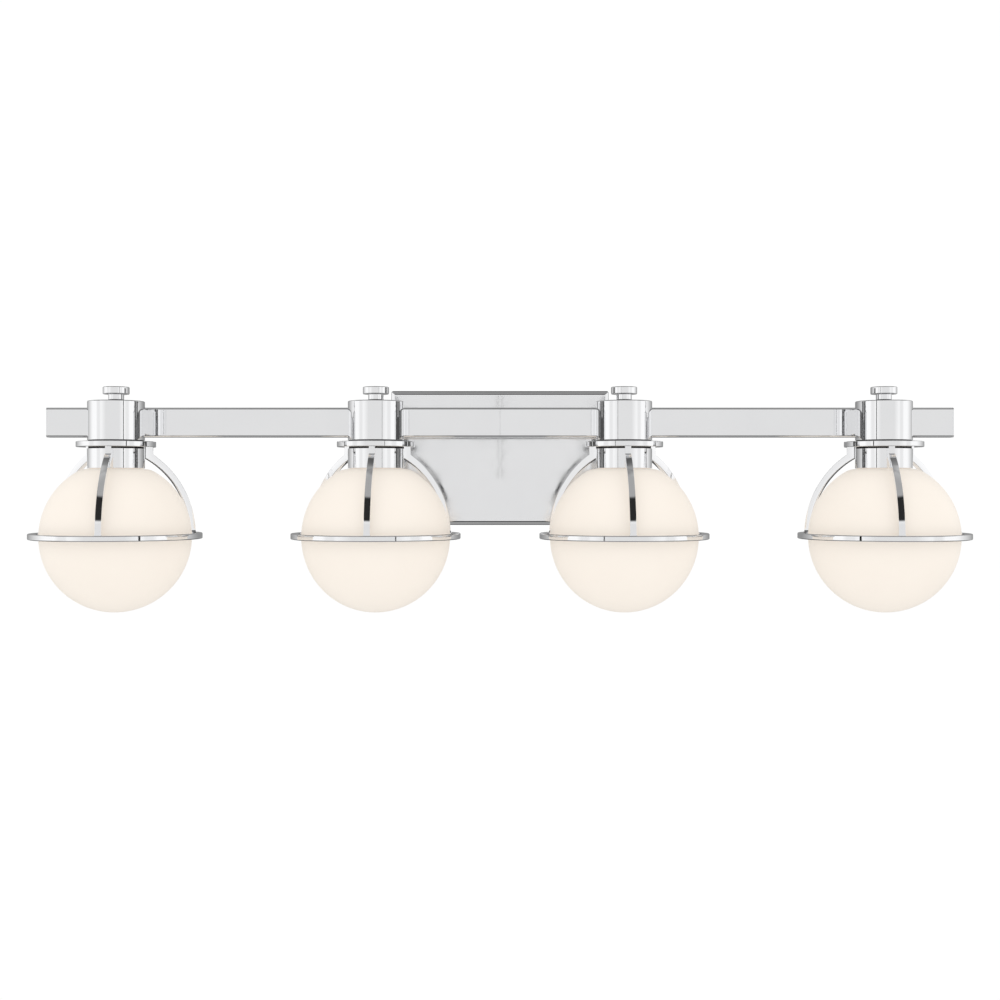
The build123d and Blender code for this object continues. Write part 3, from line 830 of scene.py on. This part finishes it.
def make_nipples():
    """Hollow threaded rods: two through the stand-offs and one down each lampholder."""
    low, high = cad("threaded_nipples")
    places = []
    for side in SIDES:
        centre = middle(f"standoff_{side}")
        front = cad(f"standoff_{side}")[0].y - rod_front_end
        places.append(((centre.x, front, centre.z), (0, 1, 0), high.y - front))
    for lamp in LAMPS:
        base = lamp_base(lamp)
        bottom = cad(f"lampholder_{lamp}")[1].z - holder_rod_depth
        places.append(((base.x, base.y, bottom), UP, high.z - bottom))
    mesh = bmesh.new()
    for base, axis, length in places:
        outline = rounded([
            (rod_bore_r, 0, 0), (rod_r, 0, 0), (rod_r, length, 0), (rod_bore_r, length, 0),
        ])
        thread = helix(
            thread_pitch, thread_depth, -thread_pitch, length + thread_pitch, thread_pitch
        )
        lathe(
            mesh, base, finely(outline, thread_pitch / 6), axis, steps=32,
            relief=thread, relief_from=rod_r - MM,
        )
    add_piece("threaded_rods", to_data(mesh, "threaded_rods"), "zinc_steel", "threaded_nipples")


def make_nuts():
    """Chamfered hexagon nuts that clamp the stand-off nipples."""
    low, high = cad("nipple_locknuts")
    thickness = high.y - low.y
    flats = high.z - low.z
    mesh = bmesh.new()
    for side in SIDES:
        centre = middle(f"standoff_{side}")
        corners = [math.pi / 3 * k for k in range(6)]
        across = flats / 2 / math.cos(math.pi / 6)
        hexagon = rounded([(across * math.cos(a), across * math.sin(a), 0.6) for a in corners], 3)
        place = facing_front((centre.x, high.y, centre.z))
        slab(mesh, place, [hexagon, circle(rod_seat_r, clockwise=True)], thickness, 0.5)
    add_piece("hex_nuts", to_data(mesh, "hex_nuts"), "zinc_steel", "nipple_locknuts")


# ================= bar and arms =================

def make_bar():
    """Rectangular tube in one length, with its two flush end caps."""
    low, high = cad("bar_tube")
    length, depth, height = high - low
    centre = middle("bar_tube")
    place = facing_side((low.x, centre.y, centre.z))
    outer = rectangle(depth, height, bar_corner)
    hollow = rectangle(depth - 2 * bar_wall, height - 2 * bar_wall, 0.5)[::-1]
    mesh = bmesh.new()
    slab(mesh, place, [outer, hollow], length, 0.12)
    reach = 2 * bar_wall
    holes = []
    for lamp in LAMPS:
        arm_x = middle(f"arm_{lamp}").x
        holes.append(((arm_x, low.y - bar_wall / 2, centre.z), (0, 1, 0), lead_channel_r, reach))
    for side in SIDES:
        standoff_x = middle(f"standoff_{side}").x
        holes.append(((standoff_x, high.y + bar_wall / 2, centre.z), (0, -1, 0), rod_seat_r, reach))
    data = drill(to_data(mesh, "bar"), holes)
    add_piece("bar_profile", data, "chrome", "bar_tube", finish="chrome_trim")
    for side, end, way in ((1, low, -1), (2, high, 1)):
        make_end_plug(side, end.x, way, outer)


def make_end_plug(side, seat_x, way, outer):
    """End cap flush with the tube, its spigot inside."""
    name = f"bar_end_cap_{side}"
    low, high = cad(name)
    centre = middle(name)
    thickness = high.x - seat_x if way > 0 else seat_x - low.x
    margin = 2 * (bar_wall + spigot_gap)
    fit = rectangle(high.y - low.y - margin, high.z - low.z - margin, 0.5)
    hollow = inset(fit, spigot_wall)[::-1]
    cap_start = seat_x if way > 0 else seat_x - thickness
    spigot_start = seat_x - spigot_length if way > 0 else seat_x - spigot_overlap
    mesh = bmesh.new()
    slab(mesh, facing_side((cap_start, centre.y, centre.z)), [outer], thickness, 0.25)
    data = to_data(mesh, name)
    place = facing_side((spigot_start, centre.y, centre.z))
    reach = spigot_length + spigot_overlap
    data = cut(data, "UNION", [lambda m: slab(m, place, [fit, hollow], reach, 0.1)])
    add_piece(f"bar_end_plug_{side}", data, "chrome", name, finish="chrome_trim")


def make_arm(lamp):
    """Die-cast block with a saddle that fits the cup's round wall."""
    name = f"arm_{lamp}"
    low, high = cad(name)
    base = lamp_base(lamp)
    centre = middle(name)
    cup_low, cup_high = cad(f"upper_cup_{lamp}")
    outline = rectangle(high.x - low.x, high.z - low.z, arm_edge)
    mesh = bmesh.new()
    slab(mesh, facing_front((base.x, high.y, centre.z)), [outline], high.y - low.y, 0.1)
    cup_r = (cup_high.x - cup_low.x) / 2
    saddle = ((base.x, base.y, low.z - overcut), UP, cup_r, high.z - low.z + 2 * overcut)
    channel = ((base.x, base.y, centre.z), (0, 1, 0), lead_channel_r, high.y - base.y + overcut)
    data = drill(to_data(mesh, name), [saddle, channel])
    add_piece(f"arm_block_{lamp}", data, "chrome", name)


# ================= one lamp =================

def make_cup(lamp):
    """Upper cup: closed top with a softened edge, open below."""
    name = f"upper_cup_{lamp}"
    low, high = cad(name)
    radius = (high.x - low.x) / 2
    bore = radius - cup_wall
    roof = high.z - cup_roof
    seam_r = radius - seam_depth
    seam_z = low.z + cup_seam_height
    outline = rounded([
        (rod_hole_r, roof, 0.2), (bore, roof, 1.0), (bore, low.z, 0.2), (seam_r, low.z, 0),
        (seam_r, seam_z, 0.1), (radius, seam_z, 0.2), (radius, high.z, cup_edge),
        (rod_hole_r, high.z, 0.2),
    ])
    base = lamp_base(lamp)
    mesh = bmesh.new()
    lathe(mesh, base, finely(outline, wall_step))
    centre = middle(f"arm_{lamp}")
    hole = ((base.x, base.y, centre.z), (0, 1, 0), lead_channel_r, radius + overcut)
    data = drill(to_data(mesh, name), [hole])
    cup = add_piece(f"cup_shell_{lamp}", data, "chrome", name)
    # painted shade on the faces of the seam at the foot of the cup
    darken_seam(cup, base, low.z, seam_z, radius - seam_depth / 2)


def make_lower_cup(lamp):
    """Lower cup, with a groove under the collar and the spigot that screws up through it."""
    name = f"lower_cup_{lamp}"
    low, high = cad(name)
    radius = (high.x - low.x) / 2
    bore = radius - lower_cup_wall
    collar_bottom = cad(f"cage_{lamp}")[1].z - collar_height
    lip = collar_bottom - lip_height
    groove_z = collar_bottom - groove_height
    groove_r = radius - groove_depth
    outline = rounded([
        (bore, low.z, 0.3), (radius, low.z, 0.5), (radius, groove_z, 0.2),
        (groove_r, groove_z, 0.1), (groove_r, collar_bottom, 0.1), (spigot_r, collar_bottom, 0),
        (spigot_r, high.z, 0.4), (spigot_bore_r, high.z, 0.4), (spigot_bore_r, collar_bottom, 0.2),
        (lip_r, collar_bottom, 0.3), (lip_r, lip, 0.3), (bore, lip, 0.3),
    ])
    base = lamp_base(lamp)
    shell = turned(f"lower_cup_shell_{lamp}", base, finely(outline, wall_step), "chrome", name)
    # painted shade on the faces of the groove under the collar
    darken_seam(shell, base, groove_z, collar_bottom, radius - groove_depth / 2)


def make_finial(lamp):
    """Turned knob: a disc head on a shorter neck, bored for the nipple."""
    name = f"finial_{lamp}"
    low, high = cad(name)
    head_r = (high.x - low.x) / 2
    head_z = high.z - finial_head_height
    bore_z = low.z + finial_bore_depth
    seam_r = finial_neck_r - seam_depth
    seam_z = low.z + finial_seam_height
    outline = rounded([
        (finial_bore_r, low.z, 0.2), (seam_r, low.z, 0), (seam_r, seam_z, 0.1),
        (finial_neck_r, seam_z, 0.2), (finial_neck_r, head_z, 0.4),
        (head_r, head_z, finial_edge), (head_r, high.z, finial_edge), (0, high.z, 0),
        (0, bore_z, 0), (finial_bore_r, bore_z, 0.3),
    ])
    base = lamp_base(lamp)
    knob = turned(f"finial_knob_{lamp}", base, outline, "chrome", name, steps=small_steps)
    # painted shade on the faces of the seam at the foot of the neck
    darken_seam(knob, base, low.z, seam_z, finial_neck_r - seam_depth / 2)


def leg_circle(foot_r, leg_r, rise):
    """Centre and radius of the circle upright at foot_r and through leg_r at rise."""
    centre = (foot_r**2 - leg_r**2 - rise**2) / (2 * (foot_r - leg_r))
    return centre, foot_r - centre


def rib_side(foot_r, leg_r, rise, globe_z, leg_top):
    """(radius, height) points down one side of a rib, from the collar to the ring."""
    centre, radius = leg_circle(foot_r, leg_r, rise)
    bend = math.atan2(rise, leg_r - centre)
    points = [Vector((leg_r, leg_top))]
    for step in range(rib_stations + 1):
        angle = bend * (1 - step / rib_stations)
        across, up = radius * math.cos(angle), radius * math.sin(angle)
        points.append(Vector((centre + across, globe_z + up)))
    return points


def rib_half_width(height, ring_top):
    """Half width of a rib, flared where it lands on the ring."""
    above = min(max(height - ring_top, 0.0), rib_flare)
    return rib_width / 2 + rib_flare - math.sqrt(rib_flare**2 - (rib_flare - above) ** 2)


def make_rib(mesh, angle, base, collar, ring, globe_z):
    """One rib with softened edges, its ends sunk into the collar and the ring."""
    collar_bottom = collar - collar_height
    leg_top = collar_bottom + rib_embed
    ring_bore = ring.x - ring_depth
    inner = rib_side(ring_bore + 0.1, rib_inner_leg_r, rib_inner_rise, globe_z, leg_top)
    outer = rib_side(rib_outer_foot_r, rib_outer_leg_r, rib_outer_rise, globe_z, leg_top)
    heading = Matrix.Rotation(math.radians(angle), 4, "Z")
    place = Matrix.Translation(base) @ heading
    loops = []
    for near, far in zip(inner, outer):
        centre = (near + far) / 2
        outward = far - near
        half = rib_half_width(centre.y, ring.y)
        section = rectangle(outward.length, 2 * half, rib_edge, steps=2)
        unit = outward.normalized()
        spots = [Vector((centre.x + unit.x * a, b, centre.y + unit.y * a)) for a, b in section]
        loops.append([mesh.verts.new(place @ spot) for spot in spots])
    stitch(mesh, loops)
    mesh.faces.new(loops[0])
    mesh.faces.new(loops[-1])


def make_cage(lamp, turn):
    """Collar, three ribs and ring in one brazed piece."""
    name = f"cage_{lamp}"
    low, high = cad(name)
    base = lamp_base(lamp)
    ring_r = (high.y - low.y) / 2
    ring_top = low.z + ring_height
    ring = Vector((ring_r, ring_top))
    globe_low, globe_high = cad(f"globe_{lamp}")
    globe_z = globe_low.z + (globe_high.x - globe_low.x) / 2
    ring_outline = rounded([
        (ring_r - ring_depth, low.z, 0.5), (ring_r, low.z, ring_edge),
        (ring_r, ring_top, ring_edge), (ring_r - ring_depth, ring_top, 0.5),
    ])
    collar_outline = rounded([
        (collar_bore_r, high.z - collar_height, 0.2), (collar_r, high.z - collar_height, 0.6),
        (collar_r, high.z, 0.6), (collar_bore_r, high.z, 0.2),
    ])
    mesh = bmesh.new()
    lathe(mesh, base, ring_outline, steps=ring_steps)
    makers = [lambda m: lathe(m, base, collar_outline)]
    for angle in rib_angles:
        makers.append(lambda m, a=angle + turn: make_rib(m, a, base, high.z, ring, globe_z))
    data = cut(to_data(mesh, name), "UNION", makers)
    add_piece(f"cage_frame_{lamp}", data, "chrome", name)


def glass_side(radius, neck_r, shoulder_z, globe_z):
    """(radius, height) points from the bottom of a very slightly slimmed sphere up its
    side to the neck, by an arc over the shoulder."""
    start = math.radians(glass_shoulder_angle)
    sphere = arc((0, globe_z), radius, -math.pi / 2, 0, glass_lower_steps)
    sphere += arc((0, globe_z), radius, 0, start, glass_upper_steps)[1:]
    sphere = [Vector((point.x * glass_waist, point.y)) for point in sphere]
    on_sphere = sphere[-1]
    target = Vector((neck_r, shoulder_z))
    chord = target - on_sphere
    inward = Vector((-math.cos(start), -math.sin(start)))
    bend_r = chord.length_squared / (2 * chord.dot(inward))
    centre = on_sphere + inward * bend_r
    first = on_sphere - centre
    last = target - centre
    shoulder = arc_between(centre, abs(bend_r), first, last, glass_shoulder_steps)
    return sphere + shoulder[1:]


def make_glass(lamp):
    """Blown opal globe with a flat shoulder and a neck, its lip fire-polished."""
    name = f"globe_{lamp}"
    low, high = cad(name)
    radius = (high.x - low.x) / 2
    globe_z = low.z + radius
    neck_z = high.z - glass_neck_height
    outer = glass_side(radius, glass_neck_r, high.z - glass_shoulder_drop, globe_z)
    inner = glass_side(radius - glass_wall, glass_neck_bore_r, high.z - glass_inner_drop, globe_z)
    lip = rounded([
        (glass_neck_r, neck_z, 0), (glass_neck_r, high.z, glass_lip_edge),
        (glass_neck_bore_r, high.z, glass_lip_edge), (glass_neck_bore_r, neck_z, 0),
    ])
    outline = outer + lip + inner[::-1]
    turned(f"globe_glass_{lamp}", lamp_base(lamp), outline, "opal_glass", name)


def make_gasket(lamp):
    """Silicone ring with rounded edges."""
    name = f"gasket_{lamp}"
    low, high = cad(name)
    radius = (high.x - low.x) / 2
    outline = rounded([
        (gasket_bore_r, low.z, 0.5), (radius, low.z, 0.5), (radius, high.z, 0.5),
        (gasket_bore_r, high.z, 0.5),
    ])
    turned(f"gasket_ring_{lamp}", lamp_base(lamp), outline, "silicone", name)


def make_holder(lamp):
    """Glazed lampholder with a soft shoulder."""
    name = f"lampholder_{lamp}"
    low, high = cad(name)
    radius = (high.x - low.x) / 2
    shoulder = high.z - holder_neck_drop
    cavity = low.z + holder_cavity_depth
    rod_z = high.z - holder_rod_depth
    outline = rounded([
        (holder_cavity_r, low.z, 0.8), (radius, low.z, 1.6), (radius, shoulder, 2.5),
        (holder_neck_r, shoulder, 1.5), (holder_neck_r, high.z, 0.8), (rod_seat_r, high.z, 0.3),
        (rod_seat_r, rod_z, 0), (0, rod_z, 0), (0, cavity, 0), (holder_cavity_r, cavity, 0.5),
    ])
    turned(f"holder_body_{lamp}", lamp_base(lamp), outline, "porcelain", name)


def make_bulb(lamp):
    """Screw cap with a rolled thread, and the frosted envelope under it."""
    name = f"bulb_base_{lamp}"
    low, high = cad(name)
    radius = (high.x - low.x) / 2
    shoulder = high.z - bulb_cap_shoulder_drop
    cone = high.z - bulb_cap_cone_drop
    outline = rounded([
        (0, low.z, 0), (radius, low.z, 0.3), (radius, shoulder, 1.0), (bulb_cap_cone_r, cone, 0.3),
        (bulb_tip_r, high.z, 0.8), (0, high.z, 0),
    ])
    thread = helix(
        cap_thread_pitch, cap_thread_depth, low.z + cap_thread_start, shoulder - cap_thread_stop,
        cap_thread_run_out,
    )
    mesh = bmesh.new()
    lathe(
        mesh, lamp_base(lamp), finely(outline, cap_thread_pitch / 8), steps=small_round_steps,
        relief=thread,
    )
    add_piece(f"bulb_cap_{lamp}", to_data(mesh, name), "bulb_cap", name)
    make_envelope(lamp)


def make_envelope(lamp):
    """Candle-shaped glass, full at the waist and round at the end."""
    name = f"bulb_glass_{lamp}"
    low, high = cad(name)
    belly_r = (high.x - low.x) / 2
    belly_z = high.z - bulb_belly_drop
    tip_length = belly_z - low.z
    outside = []
    for step in range(bulb_neck_steps + 1):
        share = step / bulb_neck_steps
        ease = share * share * (3 - 2 * share)
        swell = bulb_neck_r + (belly_r - bulb_neck_r) * ease
        outside.append(Vector((swell, high.z - share * bulb_belly_drop)))
    for step in range(1, bulb_end_steps):
        angle = math.pi / 2 * step / bulb_end_steps
        narrow = belly_r * math.cos(angle) ** bulb_fullness
        outside.append(Vector((narrow, belly_z - tip_length * math.sin(angle))))
    inside = []
    for point in outside:
        depth = (high.z - point.y) / (high.z - low.z)
        inside.append(Vector((point.x - bulb_wall, point.y + bulb_wall * depth)))
    inside = [point for point in inside if point.x > 0]
    outline = outside + [Vector((0, low.z)), Vector((0, low.z + bulb_wall))] + inside[::-1]
    base = lamp_base(lamp)
    turned(f"bulb_envelope_{lamp}", base, outline, "bulb_frost", name, steps=small_steps)


def make_connectors():
    """Twist-on connectors with grip flutes."""
    low, high = cad("wire_connectors")
    outline = rounded([
        (0, low.z, 0), (connector_bottom_r, low.z, 0.8),
        (connector_top_r, high.z - connector_skirt, 0.5), (connector_top_r, high.z, 0.4),
        (connector_bore_r, high.z, 0.3), (connector_bore_r, 0, 0.3), (0, 0, 0),
    ])
    outline = finely(outline, connector_step)
    grip = flutes(low.z, high.z - connector_flute_top)
    mesh = bmesh.new()
    for side in SIDES:
        x = middle(f"standoff_{side}").x
        for way in (-1, 1):
            base = (x + way * connector_offset, (low.y + high.y) / 2, 0)
            lathe(
                mesh, base, outline, steps=small_steps, relief=grip, relief_from=connector_bore_r
            )
    data = to_data(mesh, "twist_connectors")
    add_piece("twist_connectors", data, "connector_plastic", "wire_connectors")


def flutes(low, high):
    """Shallow grip grooves between two heights."""
    def relief(angle, height):
        inside = fade(height, low + connector_flute_fade, high, connector_flute_fade)
        return -connector_flute_depth * inside * max(0.0, math.cos(connector_flutes * angle))
    return relief


make_back_pan()
make_strap()
make_side_screws()
make_ground_screw()
make_standoffs()
make_nipples()
make_nuts()
make_bar()
make_connectors()
for lamp, turn in zip(LAMPS, cage_turns):
    make_arm(lamp)
    make_cup(lamp)
    make_lower_cup(lamp)
    make_finial(lamp)
    make_cage(lamp, turn)
    make_glass(lamp)
    make_gasket(lamp)
    make_holder(lamp)
    make_bulb(lamp)
    repaint(f"lamp_leads_{lamp}", "lead_insulation")
repaint("ground_lead", "green_insulation")
repaint("cup_screws", "zinc_steel")
repaint("socket_contacts", "brass")


# ================= studio =================

def ramp(tree, factor, stops):
    """Brightness along a factor from 0 to 1, through (place, brightness) stops."""
    node = tree.nodes.new("ShaderNodeValToRGB")
    elements = node.color_ramp.elements
    elements[0].position, first = stops[0]
    elements[0].color = (first, first, first, 1)
    elements[1].position, last = stops[-1]
    elements[1].color = (last, last, last, 1)
    for place, brightness in stops[1:-1]:
        elements.new(place).color = (brightness, brightness, brightness, 1)
    tree.links.new(factor, node.inputs["Fac"])
    return node.outputs["Color"]


def by_height(tree, height, zones):
    """Brightness by height, from zones in degrees above the horizon."""
    return ramp(tree, height, [(degrees / 180 + 0.5, value) for degrees, value in zones])


def calculate(tree, operation, first, second=None):
    """One math node; an input is a socket or a number."""
    node = tree.nodes.new("ShaderNodeMath")
    node.operation = operation
    for socket, value in zip(node.inputs, (first, second)):
        if value is None:
            continue
        if isinstance(value, (int, float)):
            socket.default_value = value
        else:
            tree.links.new(value, socket)
    return node.outputs["Value"]


def make_world():
    """White all round for the eye, and the studio's panels for what is polished."""
    world = bpy.data.worlds.new("studio")
    bpy.context.scene.world = world
    tree = clear_tree(world)
    direction = tree.nodes.new("ShaderNodeTexCoord").outputs["Generated"]
    parts = add_node(tree, "ShaderNodeSeparateXYZ", Vector=direction)
    front = calculate(tree, "MULTIPLY", parts.outputs["Y"], -1.0)
    turn = calculate(tree, "ARCTAN2", parts.outputs["X"], front)
    away = calculate(tree, "DIVIDE", calculate(tree, "ABSOLUTE", turn), math.pi)
    rise = calculate(tree, "ARCSINE", parts.outputs["Z"])
    height = calculate(tree, "ADD", calculate(tree, "DIVIDE", rise, math.pi), 0.5)
    ring_light = ramp(tree, away, [(degrees / 180, value) for degrees, value in around])
    front_light = by_height(tree, height, above_front)
    rear_light = by_height(tree, height, above_rear)
    behind = calculate(tree, "GREATER_THAN", away, rear_start / 180)
    difference = calculate(tree, "SUBTRACT", rear_light, front_light)
    change = calculate(tree, "MULTIPLY", difference, behind)
    dome_light = calculate(tree, "ADD", front_light, change)
    both = calculate(tree, "MULTIPLY", ring_light, dome_light)
    panels = add_node(tree, "ShaderNodeBackground", Color=(1, 1, 1, 1), Strength=both)
    white = add_node(tree, "ShaderNodeBackground", Color=(1, 1, 1, 1), Strength=white_level)
    glossy = tree.nodes.new("ShaderNodeLightPath").outputs["Is Glossy Ray"]
    seen = mixed(tree, glossy, white.outputs["Background"], panels.outputs["Background"])
    add_node(tree, "ShaderNodeOutputWorld", Surface=seen)


def make_floor():
    """Pale studio floor, far enough below the bar to stay out of the front view."""
    finish = Finish("studio_floor")
    finish.colour(finish.noise(400.0), (0.86, 0.86, 0.86), (0.90, 0.90, 0.90))
    finish.roughness(finish.noise(60.0), 0.6, 0.8)
    mesh = bmesh.new()
    bottom = -floor_thickness
    outline = [Vector(p) for p in ((0, bottom), (floor_r, bottom), (floor_r, 0), (0, 0))]
    lathe(mesh, (0, 0, floor_z), outline)
    floor = placed("floor", to_data(mesh, "floor"))
    floor.data.materials.append(finish.material)
    floor.visible_glossy = False


def flag_material(name, brightness, one_sided):
    """Plain dark card; a one-sided one can't be seen from its back."""
    material = bpy.data.materials.new(name)
    tree = clear_tree(material)
    card = add_node(tree, "ShaderNodeEmission", Strength=brightness)
    clear = tree.nodes.new("ShaderNodeBsdfTransparent")
    facing = tree.nodes.new("ShaderNodeNewGeometry")
    hidden = facing.outputs["Backfacing"] if one_sided else 0.0
    surface = mixed(tree, hidden, card.outputs["Emission"], clear.outputs["BSDF"])
    add_node(tree, "ShaderNodeOutputMaterial", Surface=surface)
    return material


def make_flag(name, centre, half, height, facing, brightness):
    """Upright dark card that only polished metal sees. half runs from its centre to one
    edge; facing is -1 or 1 for a card seen from that side along X, and 0 for both."""
    half = Vector(half)
    rise = Vector((0, 0, height / 2))
    centre = Vector(centre)
    signs = ((-1, -1), (1, -1), (1, 1), (-1, 1))
    corners = [centre + half * a + rise * b for a, b in signs]
    mesh = bmesh.new()
    face = mesh.faces.new([mesh.verts.new(corner * MM) for corner in corners])
    face.normal_update()
    if face.normal.x * facing < 0:
        face.normal_flip()
    data = bpy.data.meshes.new(name)
    mesh.to_mesh(data)
    mesh.free()
    data.materials.append(flag_material(name, brightness, facing != 0))
    flag = placed(name, data)
    flag.visible_camera = False
    flag.visible_diffuse = False
    flag.visible_shadow = False


def make_flags():
    """Two cards beside the camera for the outer lamps, and strips among the lamps that
    darken the sides of the cups. All are seen in polished metal only."""
    angle = math.radians(flag_angle)
    for side in (-1, 1):
        centre = (side * flag_x, flag_y, 0)
        half = Vector((math.cos(angle) * side, -math.sin(angle), 0)) * flag_width / 2
        make_flag(f"camera_flag_{side}", centre, half, flag_height, -side, 0.0)
    lamp_y = lamp_base(1).y
    for number, (near, far) in enumerate(strip_spans, start=1):
        half = (0, (far - near) / 2, 0)
        for side in (-1, 0, 1):
            centre = (side * strip_x, lamp_y + (near + far) / 2, strip_z)
            make_flag(
                f"strip_{number}_{side}", centre, half, strip_height, side, strip_brightness
            )


def make_camera():
    """Level camera in front of the middle of the bar."""
    data = bpy.data.cameras.new("camera")
    data.lens = eye_lens
    data.sensor_width = eye_sensor
    data.shift_y = eye_shift
    camera = placed("camera", data)
    camera.location = Vector((0, lamp_base(1).y - eye_distance, eye_height)) * MM
    camera.rotation_euler = (math.pi / 2, 0, 0)
    bpy.context.scene.camera = camera


make_world()
make_floor()
make_flags()
make_camera()
bpy.context.scene.view_settings.view_transform = "Standard"
